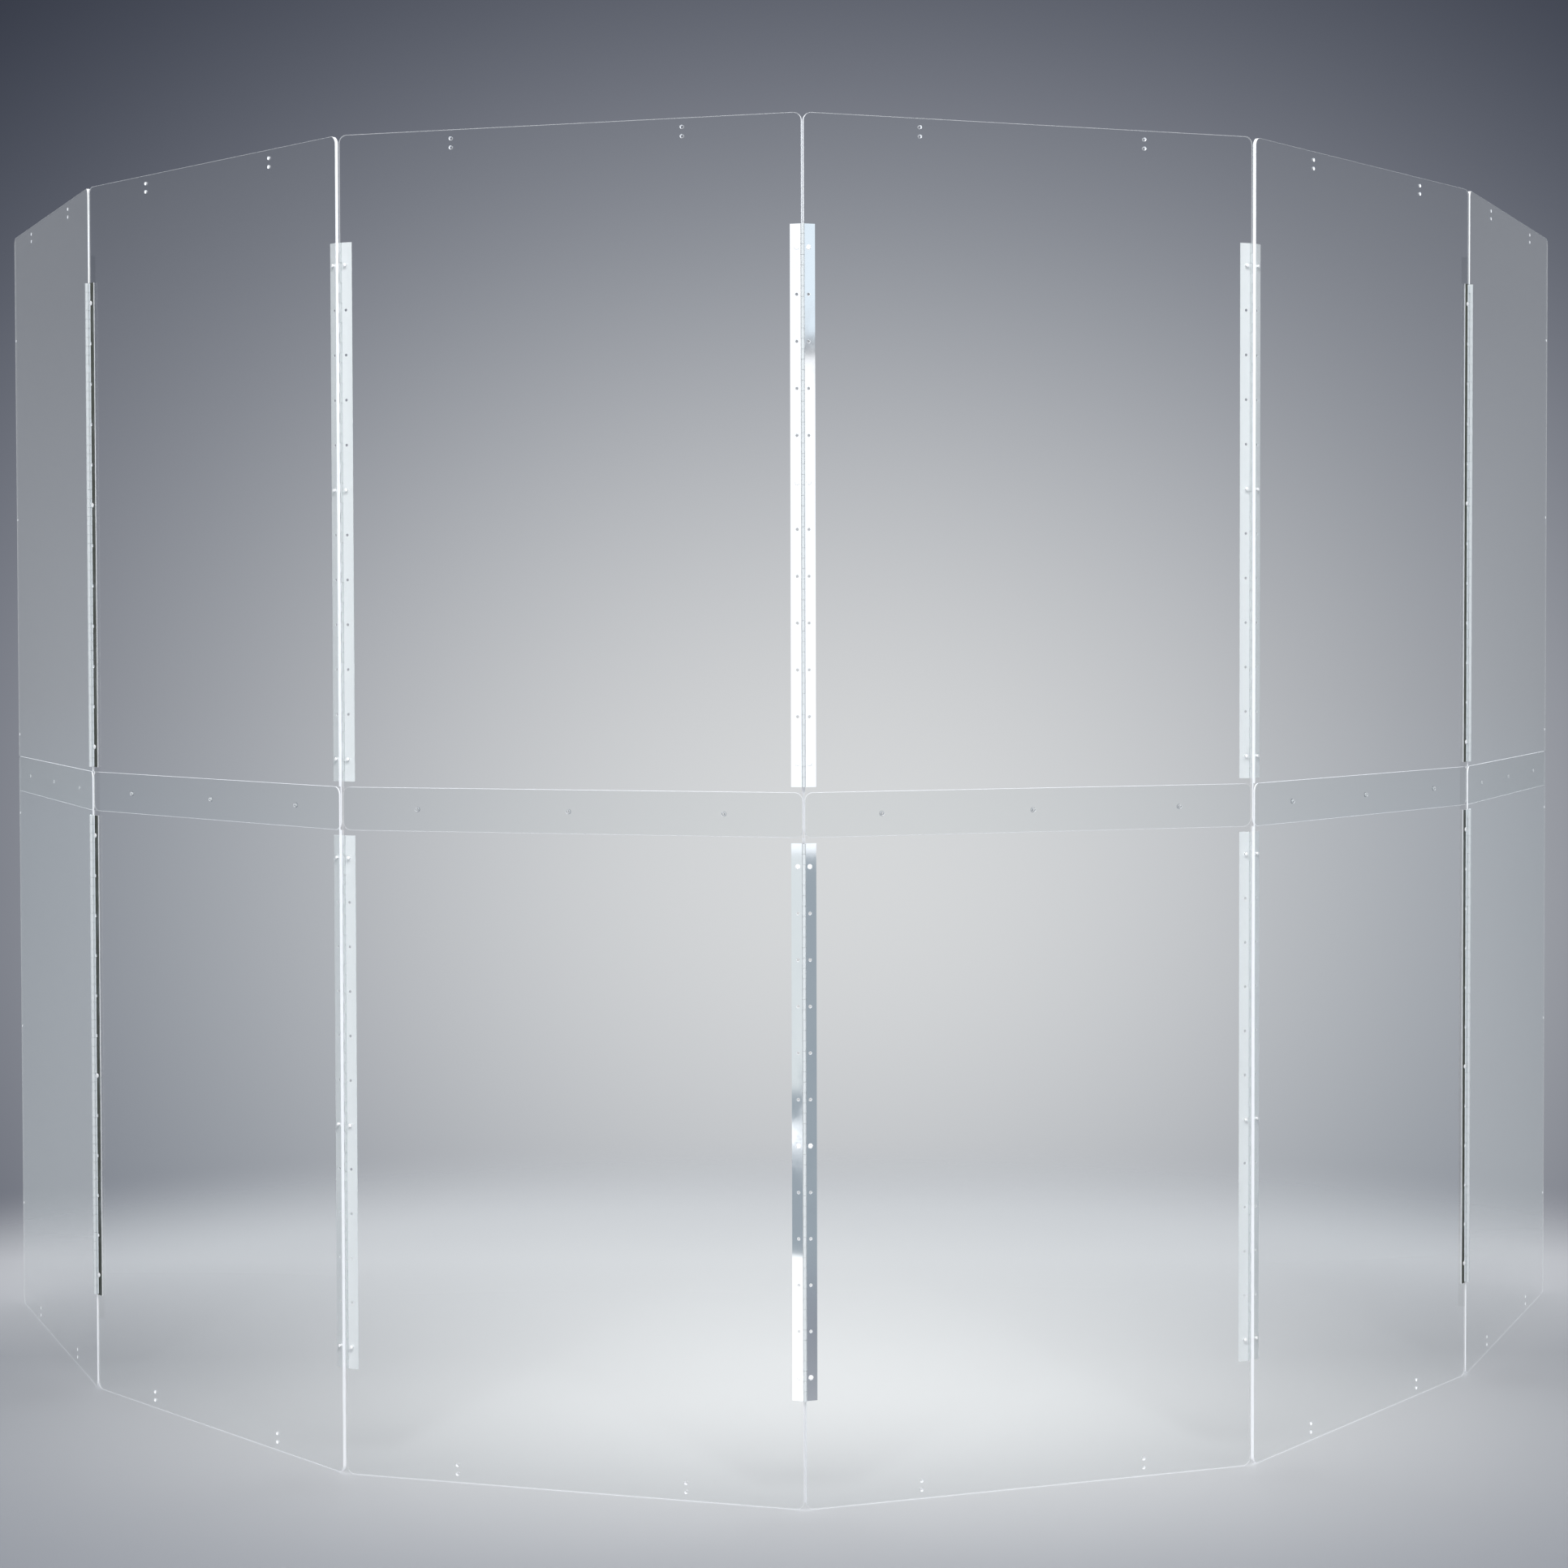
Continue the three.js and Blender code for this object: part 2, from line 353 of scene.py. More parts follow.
def newTree(name, inputs):
    # inputs are {label: default}; returns the tree, its sources by label and its output
    tree = bpy.data.node_groups.new(name, "GeometryNodeTree")
    kinds = {int: "NodeSocketInt", float: "NodeSocketFloat"}
    socketAdd(tree, "Geometry", "INPUT", "NodeSocketGeometry")
    identifiers = {}
    for label, value in inputs.items():
        if isinstance(value, bpy.types.Object):
            socket = socketAdd(tree, label, "INPUT", "NodeSocketObject")
        elif isinstance(value, bpy.types.Material):
            socket = socketAdd(tree, label, "INPUT", "NodeSocketMaterial")
        else:
            socket = socketAdd(tree, label, "INPUT", kinds[type(value)], value)
        identifiers[label] = socket.identifier
    socketAdd(tree, "Geometry", "OUTPUT", "NodeSocketGeometry")
    source = tree.nodes.new("NodeGroupInput").outputs
    sink = tree.nodes.new("NodeGroupOutput").inputs["Geometry"]
    return tree, identifiers, source, sink


def transformed(tree, geometry, **how):
    # how is a Translation, a Rotation or both
    return put(tree, "GeometryNodeTransform", {"Geometry": geometry, **how}).outputs[0]


def realized(tree, geometry):
    return put(tree, "GeometryNodeRealizeInstances", {"Geometry": geometry}).outputs[0]


def onPoints(tree, points, instance, **how):
    placed = put(tree, "GeometryNodeInstanceOnPoints", {"Points": points, "Instance": instance, **how})
    return realized(tree, placed.outputs[0])


def joined(tree, *shapes):
    node = put(tree, "GeometryNodeJoinGeometry")
    for shape in shapes:
        tree.links.new(shape, node.inputs[0])
    return node.outputs[0]


def combined(tree, operation, wires, *others):
    # a difference takes the others from wires["Mesh 1"], and a union has the others only
    node = put(tree, "GeometryNodeMeshBoolean", wires, operation=operation, solver="EXACT")
    for other in others:
        tree.links.new(other, node.inputs["Mesh 2"])
    return node.outputs["Mesh"]


def finished(tree, geometry, material, **where):
    # where is the Selection, or nothing for all of it
    wires = {"Geometry": geometry, "Material": material, **where}
    return put(tree, "GeometryNodeSetMaterial", wires).outputs[0]


def pointMesh(name, places, attribute=None, values=None):
    mesh = bpy.data.meshes.new(name)
    mesh.from_pydata([tuple(p) for p in places], [], [])
    if attribute:
        layer = mesh.attributes.new(attribute, "FLOAT", "POINT")
        layer.data.foreach_set("value", values)
    return mesh


def linked(name, data):
    piece = bpy.data.objects.new(name, data)
    scene.collection.objects.link(piece)
    return piece


def bakedMesh(piece, name):
    # the piece's mesh with its modifiers applied, in place of the piece
    bpy.context.view_layer.update()
    made = bpy.data.meshes.new_from_object(piece.evaluated_get(bpy.context.evaluated_depsgraph_get()))
    bpy.data.objects.remove(piece)
    made.name = name
    return made


def meshOf(shape, name, material):
    mesh = bpy.data.meshes.new(name)
    shape.to_mesh(mesh)
    shape.free()
    mesh.materials.append(material)
    return mesh


def grow(name, mesh, tree, identifiers, values):
    # runs the tree once on the mesh and returns the result as a plain mesh
    piece = linked(name, mesh)
    modifier = piece.modifiers.new(name, "NODES")
    modifier.node_group = tree
    for label, value in values.items():
        modifier[identifiers[label]] = value
    return bakedMesh(piece, name)


def softenEdges(mesh, width, limit, slot):
    holder = linked(mesh.name + "Soften", mesh)
    bevel = holder.modifiers.new("edgeBreak", "BEVEL")
    bevel.width = width
    bevel.segments = 1
    bevel.limit_method = "ANGLE"
    bevel.angle_limit = math.radians(limit)
    bevel.material = slot
    bevel.use_clamp_overlap = True
    return bakedMesh(holder, mesh.name)


def smoothBelow(mesh, degrees):
    for face in mesh.polygons:
        face.use_smooth = True
    mesh.set_sharp_from_angle(angle=math.radians(degrees))


def dress(name, mesh, place, body, replaced=()):
    # a copy of the mesh put in the row frame, riding on its body
    placed = mesh.copy()
    placed.name = name
    placed.transform(place)
    piece = linked(name, placed)
    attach(piece, body)
    if replaced:
        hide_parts(*replaced)
    return piece


# sizes and places of the panels and of the hinge axes between them

screen = {
    "columns": 6,
    "firstAngle": 66.6,  # plan direction of the first panel
    "folds": [19.3, 31.2, 35.1, 32.4, 14.3],  # each seam's turn towards the drummer
    "tiers": ("lower", "upper"),
}

panel = {
    "width": 609.6 * mm,
    "height": 883.0 * mm,
    "sheet": 4.5 * mm,
    "cornerRadius": 10.2 * mm,
    "cornerSteps": 9,
    "lap": 55.0 * mm,
    "lapGap": 0.3 * mm,  # between the upper and the lower panel, where they overlap
    "edgeBreak": 0.35 * mm,
    "sharpFrom": 60,  # degrees between faces from which an edge is broken
    "smoothTo": 32,  # degrees up to which faces are shaded as one
    "tieRadius": 2.2 * mm,
    "tieFromEnd": 10.8 * mm,  # from the end away from the lap
    "tiePitch": 11.4 * mm,
    "tieShares": (1 / 4, 3 / 4),  # of the width
    "lapRadius": 2.2 * mm,
    "lapShares": (1 / 6, 1 / 2, 5 / 6),  # of the width
    "rivetRadius": 1.8 * mm,
    "holeSteps": 24,
}

hinge = {
    "holePitch": 57.15 * mm,
    "holeCount": 12,
    "leafReach": 16.5 * mm,  # from the axis
    "leafSheet": 0.9 * mm,
    "barrelRadius": 2.4 * mm,
    "axisToPanel": 2.7 * mm,
    "pastFlat": {"drummer": 15.8, "audience": 38.3},  # degrees the seam turns past flat
    "pinRadius": 1.2 * mm,
    "pinEndBreak": 0.3 * mm,
    "pinSteps": (24, 3),  # round the wire and over its end
    "pastLap": 7.0 * mm,  # from the lap to the hinge's near end
    "holeToAxis": 8.2 * mm,
    "holeRadius": 1.8 * mm,
    "holeSteps": 24,
    "sinkWidth": 1.2,  # of the hole's radius
    "sinkDepth": 0.4,  # of the leaf's sheet
    "knucklesPerLeaf": 27,
    "knuckleGap": 0.3 * mm,
    "cutBack": 3.0 * mm,  # of the strip from the axis, so that only the knuckles reach it
    "curl": 300.0,  # degrees of roll round the pin
    "curlSteps": 20,
    "smoothTo": 35,
    "rivetedHoles": (1, 6, 12),  # counted from the end away from the lap
}
hingeLength = hinge["holePitch"] * hinge["holeCount"]
hingeMiddle = panel["lap"] + hinge["pastLap"] + hingeLength / 2  # above a panel's lap edge
lapFace = panel["height"] - panel["lap"]


def seamSide(seam):
    # the hinges take turns on the two sides, so that the screen folds like a fan
    return "audience" if seam % 2 else "drummer"


def edgeToAxis(seam):
    halfTurn = math.radians(hinge["pastFlat"][seamSide(seam)] / 2)
    return (hinge["axisToPanel"] + panel["sheet"]) * math.tan(halfTurn)


def axisPlace(seam, column):
    # the seam's axis in the frame of a column beside it; seam n is on the right of column n
    x = -edgeToAxis(seam) if seam < column else panel["width"] + edgeToAxis(seam)
    y = hinge["axisToPanel"] if seamSide(seam) == "drummer" else -panel["sheet"] - hinge["axisToPanel"]
    return Vector((x, y, 0))


def columnFrames():
    seams = {joint["name"]: Vector(joint["pos_m"]) for joint in frame["joints"]}
    frames = []
    angle = screen["firstAngle"]
    for column in range(1, screen["columns"] + 1):
        turn = Matrix.Rotation(math.radians(-angle), 4, "Z")
        seam = max(column - 1, 1)
        foot = seams[f"seam_{seam}"] - turn @ axisPlace(seam, column)
        frames.append(Matrix.Translation((foot.x, foot.y, 0)) @ turn)
        if column < screen["columns"]:
            angle -= screen["folds"][column - 1]
    return frames


columnFrame = columnFrames()


def rivetHeights():
    free = hingeMiddle + hingeLength / 2
    return [free - (n - 0.5) * hinge["holePitch"] for n in hinge["rivetedHoles"]]


# panels: rounded sheet, drilled, with a half-thickness lap


def panelHoles(column):
    places, radii = [], []
    for share in panel["lapShares"]:
        places.append((share * panel["width"], panel["lap"] / 2, 0))
        radii.append(panel["lapRadius"])
    for share in panel["tieShares"]:
        for n in (0, 1):
            height = panel["height"] - panel["tieFromEnd"] - n * panel["tiePitch"]
            places.append((share * panel["width"], height, 0))
            radii.append(panel["tieRadius"])
    left = hinge["holeToAxis"] - edgeToAxis(column - 1)
    right = panel["width"] + edgeToAxis(column) - hinge["holeToAxis"]
    for height in rivetHeights():
        for x in (left, right):
            places.append((x, height, 0))
            radii.append(panel["rivetRadius"])
    return places, radii


def panelTree():
    tree, ids, given, sink = newTree(
        "drilledSheet",
        {
            "Width": 0.6,
            "Height": 0.9,
            "Sheet": 0.005,
            "Corner Radius": 0.01,
            "Corner Steps": 8,
            "Hole Steps": 24,
            "Lap Height": 0.055,
            "Lap Depth": 0.003,
            "Face": clearAcrylic,
            "Edge": frostedEdge,
        },
    )
    weld, pastSides, edgeTurn = 0.002 * mm, 1.2, 0.7
    halfWidth = times(tree, given["Width"], 0.5)
    halfHeight = times(tree, given["Height"], 0.5)
    box = put(tree, "GeometryNodeCurvePrimitiveQuadrilateral", {0: given["Width"], 1: given["Height"]})
    rounding = {"Curve": box.outputs[0], "Count": given["Corner Steps"], "Radius": given["Corner Radius"]}
    fillet = put(tree, "GeometryNodeFilletCurve", rounding, mode="POLY").outputs[0]
    outline = transformed(tree, fillet, Translation=vector(tree, halfWidth, halfHeight))
    unit = {"Resolution": given["Hole Steps"], "Radius": 1.0}
    circle = put(tree, "GeometryNodeCurvePrimitiveCircle", unit).outputs[0]
    radius = put(tree, "GeometryNodeInputNamedAttribute", {"Name": "boreRadius"}).outputs["Attribute"]
    holes = onPoints(tree, given["Geometry"], circle, Scale=vector(tree, radius, radius, 1.0))
    lines = joined(tree, holes, outline)
    face = put(tree, "GeometryNodeFillCurve", {"Curve": lines}, mode="TRIANGLES").outputs[0]
    growth = {"Mesh": face, "Offset": (0, 0, 1), "Offset Scale": given["Sheet"], "Individual": False}
    wall = put(tree, "GeometryNodeExtrudeMesh", growth, mode="FACES").outputs["Mesh"]
    back = put(tree, "GeometryNodeFlipFaces", {"Mesh": face}).outputs[0]
    shell = {"Geometry": joined(tree, back, wall), "Distance": weld}
    blank = put(tree, "GeometryNodeMergeByDistance", shell).outputs[0]
    # the lap keeps the half of the sheet that lies on y = 0
    cutWidth = times(tree, given["Width"], pastSides)
    cutHeight = times(tree, given["Lap Height"], 2.0)
    cutDepth = times(tree, given["Sheet"], 2.0)
    cutSize = vector(tree, cutWidth, cutHeight, cutDepth)
    cutter = put(tree, "GeometryNodeMeshCube", {"Size": cutSize}).outputs[0]
    cutPlace = vector(tree, halfWidth, 0.0, plus(tree, given["Lap Depth"], given["Sheet"]))
    moved = transformed(tree, cutter, Translation=cutPlace)
    lapped = combined(tree, "DIFFERENCE", {"Mesh 1": blank}, moved)
    upright = transformed(tree, lapped, Rotation=Euler((math.pi / 2, 0, 0)))
    clear = finished(tree, upright, given["Face"])
    along = parts(tree, tree.nodes.new("GeometryNodeInputNormal").outputs[0])["Y"]
    sideways = math2(tree, "LESS_THAN", math2(tree, "ABSOLUTE", along), edgeTurn)
    edged = finished(tree, clear, given["Edge"], Selection=sideways)
    tree.links.new(realized(tree, edged), sink)
    return tree, ids


def makePanel(tree, ids, column):
    places, radii = panelHoles(column)
    values = {
        "Width": panel["width"],
        "Height": panel["height"],
        "Sheet": panel["sheet"],
        "Corner Radius": panel["cornerRadius"],
        "Corner Steps": panel["cornerSteps"],
        "Hole Steps": panel["holeSteps"],
        "Lap Height": panel["lap"] + panel["lapGap"],
        "Lap Depth": (panel["sheet"] - panel["lapGap"]) / 2,
        "Face": clearAcrylic,
        "Edge": frostedEdge,
    }
    points = pointMesh("panelHoles", places, "boreRadius", radii)
    sheet = grow(f"panelSheet{column}", points, tree, ids, values)
    edgeSlot = sheet.materials.find(frostedEdge.name)
    sheet = softenEdges(sheet, panel["edgeBreak"], panel["sharpFrom"], edgeSlot)
    smoothBelow(sheet, panel["smoothTo"])
    return sheet


def dressPanels():
    tree, ids = panelTree()
    forms = [makePanel(tree, ids, column) for column in (1, 2)]  # odd and even columns mirror each other
    upright = Matrix.Translation((0, 0, lapFace))
    upended = Matrix.Translation((0, -panel["sheet"], panel["height"])) @ Matrix.Rotation(math.pi, 4, "X")
    for column in range(1, screen["columns"] + 1):
        for tier, seat in (("lower", upended), ("upper", upright)):
            place = columnFrame[column - 1] @ seat
            sheet = forms[(column - 1) % 2]
            node = f"{tier}_panel_{column}"
            dress(f"{tier}_clear_panel_{column}", sheet, place, f"column_{column}", [node])
    print("panels:", len(forms[0].polygons), "faces each")


dressPanels()


# hinge leaves: a punched strip with rolled knuckles


def leafTree():
    tree, ids, given, sink = newTree(
        "rolledLeaf",
        {
            "Length": 0.7,
            "Reach": 0.016,
            "Cut Back": 0.003,
            "Leaf Sheet": 0.001,
            "Barrel Radius": 0.0024,
            "Curl": 5.2,
            "Curl Steps": 20,
            "Knuckles": 27,
            "Knuckle Pitch": 0.0127,
            "Knuckle Length": 0.0124,
            "Hole Radius": 0.0018,
            "Hole Steps": 24,
            "Sink Width": 1.2,
            "Sink Depth": 0.4,
            "Plate": brightPlate,
            "Mill Side": millFinish,
            "Barrel": rolledBarrel,
        },
    )
    tuck, lift, barrelEnd, flatTurn = 1.0 * mm, 0.02 * mm, 0.98, 0.9
    half = times(tree, given["Length"], 0.5)
    meanRadius = minus(tree, given["Barrel Radius"], times(tree, given["Leaf Sheet"], 0.5))
    # the strip, face towards the panel
    wide = minus(tree, given["Reach"], given["Cut Back"])
    middle = times(tree, plus(tree, given["Reach"], given["Cut Back"]), 0.5)
    below = times(tree, meanRadius, -1.0)
    stripSize = vector(tree, wide, given["Leaf Sheet"], given["Length"])
    strip = put(tree, "GeometryNodeMeshCube", {"Size": stripSize}).outputs[0]
    stripPlaced = transformed(tree, strip, Translation=vector(tree, middle, below))
    # one knuckle: a flat tongue, then everything past x = 0 rolls round the pin
    tongue = plus(tree, given["Cut Back"], tuck)
    blankLength = plus(tree, tongue, times(tree, meanRadius, given["Curl"]))
    blankForm = {
        "Size": vector(tree, blankLength, given["Leaf Sheet"], given["Knuckle Length"]),
        "Vertices X": given["Curl Steps"],
    }
    blank = put(tree, "GeometryNodeMeshCube", blankForm).outputs[0]
    shift = minus(tree, tongue, times(tree, blankLength, 0.5))
    laid = transformed(tree, blank, Translation=vector(tree, shift, below))
    at = parts(tree, tree.nodes.new("GeometryNodeInputPosition").outputs[0])
    past = math2(tree, "MAXIMUM", times(tree, at["X"], -1.0), 0.0)
    turn = math2(tree, "DIVIDE", past, meanRadius)
    out = times(tree, at["Y"], -1.0)
    flat = math2(tree, "MAXIMUM", at["X"], 0.0)
    rolledX = minus(tree, flat, times(tree, out, math2(tree, "SINE", turn)))
    rolledY = times(tree, times(tree, out, math2(tree, "COSINE", turn)), -1.0)
    rolledTo = {"Geometry": laid, "Position": vector(tree, rolledX, rolledY, at["Z"])}
    rolled = put(tree, "GeometryNodeSetPosition", rolledTo).outputs[0]
    firstKnuckle = minus(tree, times(tree, given["Knuckle Pitch"], 0.5), half)
    row = {
        "Count": given["Knuckles"],
        "Start Location": vector(tree, z=firstKnuckle),
        "Offset": vector(tree, z=times(tree, given["Knuckle Pitch"], 2.0)),
    }
    knucklePoints = put(tree, "GeometryNodeMeshLine", row, mode="OFFSET").outputs[0]
    punched = combined(tree, "UNION", {}, stripPlaced, onPoints(tree, knucklePoints, rolled))
    # punched holes on the given points, countersunk on the pin's side
    steps, radius, sheet = given["Hole Steps"], given["Hole Radius"], given["Leaf Sheet"]
    punchSize = {"Vertices": steps, "Radius": radius, "Depth": times(tree, sheet, 4.0)}
    punch = put(tree, "GeometryNodeMeshCylinder", punchSize).outputs[0]
    sinkDepth = times(tree, sheet, given["Sink Depth"])
    coneSize = {
        "Vertices": steps,
        "Radius Bottom": radius,
        "Radius Top": times(tree, radius, given["Sink Width"]),
        "Depth": sinkDepth,
    }
    cone = put(tree, "GeometryNodeMeshCone", coneSize).outputs[0]
    coneTop = minus(tree, minus(tree, sheet, given["Barrel Radius"]), sinkDepth)
    for tool, y in ((punch, below), (cone, plus(tree, coneTop, lift))):
        lying = transformed(tree, tool, Rotation=Euler((-math.pi / 2, 0, 0)), Translation=vector(tree, y=y))
        tools = onPoints(tree, given["Geometry"], lying)
        punched = combined(tree, "DIFFERENCE", {"Mesh 1": punched}, tools)
    plated = finished(tree, realized(tree, punched), given["Plate"])
    # the strip is polished on its +y side only, not on its cut edges, in its holes or on the barrel
    facing = parts(tree, tree.nodes.new("GeometryNodeInputNormal").outputs[0])["Y"]
    outwards = parts(tree, tree.nodes.new("GeometryNodeInputPosition").outputs[0])["X"]
    rolledPart = math2(tree, "LESS_THAN", outwards, times(tree, given["Cut Back"], barrelEnd))
    unpolished = math2(tree, "LESS_THAN", facing, flatTurn)
    dullPart = times(tree, unpolished, math2(tree, "GREATER_THAN", outwards, given["Cut Back"]))
    barrel = finished(tree, plated, given["Barrel"], Selection=rolledPart)
    tree.links.new(finished(tree, barrel, given["Mill Side"], Selection=dullPart), sink)
    return tree, ids


def makeLeaf():
    tree, ids = leafTree()
    first = hinge["holePitch"] / 2 - hingeLength / 2
    places = [(hinge["holeToAxis"], 0, first + n * hinge["holePitch"]) for n in range(hinge["holeCount"])]
    knucklePitch = hingeLength / (2 * hinge["knucklesPerLeaf"])
    values = {
        "Length": hingeLength,
        "Reach": hinge["leafReach"],
        "Cut Back": hinge["cutBack"],
        "Leaf Sheet": hinge["leafSheet"],
        "Barrel Radius": hinge["barrelRadius"],
        "Curl": math.radians(hinge["curl"]),
        "Curl Steps": hinge["curlSteps"],
        "Knuckles": hinge["knucklesPerLeaf"],
        "Knuckle Pitch": knucklePitch,
        "Knuckle Length": knucklePitch - hinge["knuckleGap"],
        "Hole Radius": hinge["holeRadius"],
        "Hole Steps": hinge["holeSteps"],
        "Sink Width": hinge["sinkWidth"],
        "Sink Depth": hinge["sinkDepth"],
        "Plate": brightPlate,
        "Mill Side": millFinish,
        "Barrel": rolledBarrel,
    }
    leaf = grow("hingeLeaf", pointMesh("leafHoles", places), tree, ids, values)
    smoothBelow(leaf, hinge["smoothTo"])
    level = 0.9995
    for face in leaf.polygons:
        if abs(face.normal.y) > level:  # the flats stay true mirrors
            face.use_smooth = False
    return leaf


def pinMesh():
    # drawn wire with slightly rounded ends
    shape = bmesh.new()
    radius = hinge["pinRadius"]
    steps, endSteps = hinge["pinSteps"]
    wire = {"segments": steps, "radius1": radius, "radius2": radius, "depth": hingeLength}
    bmesh.ops.create_cone(shape, cap_ends=True, **wire)
    rims = []
    for edge in shape.edges:
        if len({abs(face.normal.z) > 0.5 for face in edge.link_faces}) == 2:
            rims.append(edge)
    rounding = {"offset": hinge["pinEndBreak"], "segments": endSteps, "profile": 0.5}
    bmesh.ops.bevel(shape, geom=rims, affect="EDGES", **rounding)
    mesh = meshOf(shape, "hingePin", drawnWire)
    smoothBelow(mesh, hinge["smoothTo"])
    return mesh


def leafPlace(tier, seam, column):
    # where the leaf that a column carries at a seam goes, and whether it stands upside down
    height = lapFace + hingeMiddle if tier == "upper" else panel["height"] - hingeMiddle
    isLeft = seam == column
    if seamSide(seam) == "drummer":
        about, upended = ("Y", True) if isLeft else (None, False)
    else:
        about, upended = ("Z", False) if isLeft else ("X", True)
    turn = Matrix.Rotation(math.pi, 4, about) if about else Matrix.Identity(4)
    axis = axisPlace(seam, column) + Vector((0, 0, height))
    return columnFrame[column - 1] @ Matrix.Translation(axis) @ turn, upended


def leafSeats():
    # every leaf of the screen: its hinge's name, its hand, its column, place and which way up
    for tier in screen["tiers"]:
        for seam in range(1, screen["columns"]):
            for hand, column in (("left", seam), ("right", seam + 1)):
                place, upended = leafPlace(tier, seam, column)
                yield f"{tier}_hinge_{seam}", hand, column, place, upended == (tier == "upper")


def dressHinges():
    leaf, pin = makeLeaf(), pinMesh()
    for name, hand, column, place, _ in leafSeats():
        body = f"column_{column}"
        dress(f"{name}_rolled_{hand}", leaf, place, body, [f"{name}_{hand}_leaf"])
        if hand == "left":
            dress(f"{name}_wire", pin, place, body, [f"{name}_pin"])
    print("hinges:", len(leaf.polygons), "faces a leaf")


dressHinges()


# rivets and lap studs: one turned shape repeated on points


def turned(name, profile, size, material):
    # profile is (radius, how far towards the audience), from the drummer's side out
    shape = bmesh.new()
    steps = size["steps"]
    rings = []
    for radius, out in profile:
        if radius == 0:
            rings.append([shape.verts.new((0, -out, 0))])
            continue
        ring = []
        for n in range(steps):
            angle = 2 * math.pi * n / steps
            ring.append(shape.verts.new((radius * math.cos(angle), -out, radius * math.sin(angle))))
        rings.append(ring)
    for one, two in zip(rings, rings[1:]):
        for n in range(steps):
            corners = []
            for ring, m in ((one, n), (one, n + 1), (two, n + 1), (two, n)):
                corner = ring[m % len(ring)]
                if corner not in corners:
                    corners.append(corner)
            shape.faces.new(corners)
    bmesh.ops.recalc_face_normals(shape, faces=shape.faces[:])
    mesh = meshOf(shape, name, material)
    smoothBelow(mesh, size["smoothTo"])
    return linked(name, mesh)


def stampTree(sample, material):
    tree, ids, given, sink = newTree("repeatOnPoints", {"Piece": sample, "Finish": material})
    shape = put(tree, "GeometryNodeObjectInfo", {"Object": given["Piece"]}, transform_space="ORIGINAL")
    stamped = onPoints(tree, given["Geometry"], shape.outputs["Geometry"])
    tree.links.new(finished(tree, stamped, given["Finish"]), sink)
    return tree, ids


rivet = {
    "headRadius": 3.2 * mm,
    "headHeight": 1.0 * mm,
    "shankRadius": 1.6 * mm,
    "tailRadius": 2.2 * mm,
    "tailHeight": 1.1 * mm,
    "dimpleRadius": 0.9 * mm,
    "dimpleDepth": 0.4 * mm,
    "steps": 24,
    "smoothTo": 40,
}

stud = {
    "headRadius": 3.2 * mm,
    "headHeight": 0.8 * mm,
    "shankRadius": 1.9 * mm,
    "clearance": 0.3 * mm,
    "endBreak": 0.3 * mm,
    "steps": 24,
    "smoothTo": 40,
}


def rivetProfile():
    # domed head on the leaf, set tail on the far face of the sheet; distances run from the hinge axis
    under = hinge["barrelRadius"] - hinge["leafSheet"]
    far = hinge["axisToPanel"] + panel["sheet"]
    head, tail = rivet["headHeight"], rivet["tailHeight"]
    wide, mouth = rivet["headRadius"], rivet["dimpleRadius"]
    return [
        (0, under - head + rivet["dimpleDepth"]),
        (0.85 * mouth, under - head + rivet["dimpleDepth"]),
        (mouth, under - 0.94 * head),
        (1.2 * mouth, under - head),
        (0.62 * wide, under - 0.86 * head),
        (0.86 * wide, under - 0.56 * head),
        (wide, under - 0.2 * head),
        (0.97 * wide, under),
        (rivet["shankRadius"], under),
        (rivet["shankRadius"], far),
        (0.95 * rivet["tailRadius"], far),
        (rivet["tailRadius"], far + 0.3 * tail),
        (0.8 * rivet["tailRadius"], far + 0.72 * tail),
        (0.45 * rivet["tailRadius"], far + 0.96 * tail),
        (0.3 * rivet["tailRadius"], far + tail),
        (0.24 * rivet["tailRadius"], far + 0.8 * tail),
        (0, far + 0.8 * tail),
    ]


def studProfile():
    # distances run from the drummer's face of the panel
    under, flush, head = -stud["clearance"], panel["sheet"], stud["headHeight"]
    return [
        (0, under - head),
        (0.8 * stud["headRadius"], under - head),
        (0.95 * stud["headRadius"], under - 0.8 * head),
        (stud["headRadius"], under - 0.4 * head),
        (stud["headRadius"], under),
        (stud["shankRadius"], under),
        (stud["shankRadius"], flush - stud["endBreak"]),
        (stud["shankRadius"] - stud["endBreak"], flush),
        (0, flush),
    ]


def dressFasteners():
    rivetShape = turned("rivetShape", rivetProfile(), rivet, rivetAluminium)
    studShape = turned("studShape", studProfile(), stud, clearStud)
    tree, ids = stampTree(rivetShape, rivetAluminium)
    values = {"Piece": rivetShape, "Finish": rivetAluminium}
    rows = []
    for way in (-1, 1):
        places = [(hinge["holeToAxis"], 0, way * (height - hingeMiddle)) for height in rivetHeights()]
        rows.append(grow("rivetRow", pointMesh("rivetPoints", places), tree, ids, values))
    for name, hand, column, place, flipped in leafSeats():
        dress(f"{name}_rivets_{hand}", rows[0 if flipped else 1], place, f"column_{column}")
    values = {"Piece": studShape, "Finish": clearStud}
    places = [(share * panel["width"], 0, lapFace + panel["lap"] / 2) for share in panel["lapShares"]]
    row = grow("studRow", pointMesh("studPoints", places), tree, ids, values)
    for column in range(1, screen["columns"] + 1):
        nodes = [f"lap_stud_{column}_{n}" for n in (1, 2, 3)]
        dress(f"lap_studs_clear_{column}", row, columnFrame[column - 1], f"column_{column}", nodes)
    bpy.data.objects.remove(rivetShape)
    bpy.data.objects.remove(studShape)
    print("rivets and studs placed")


dressFasteners()


# floor, light and camera

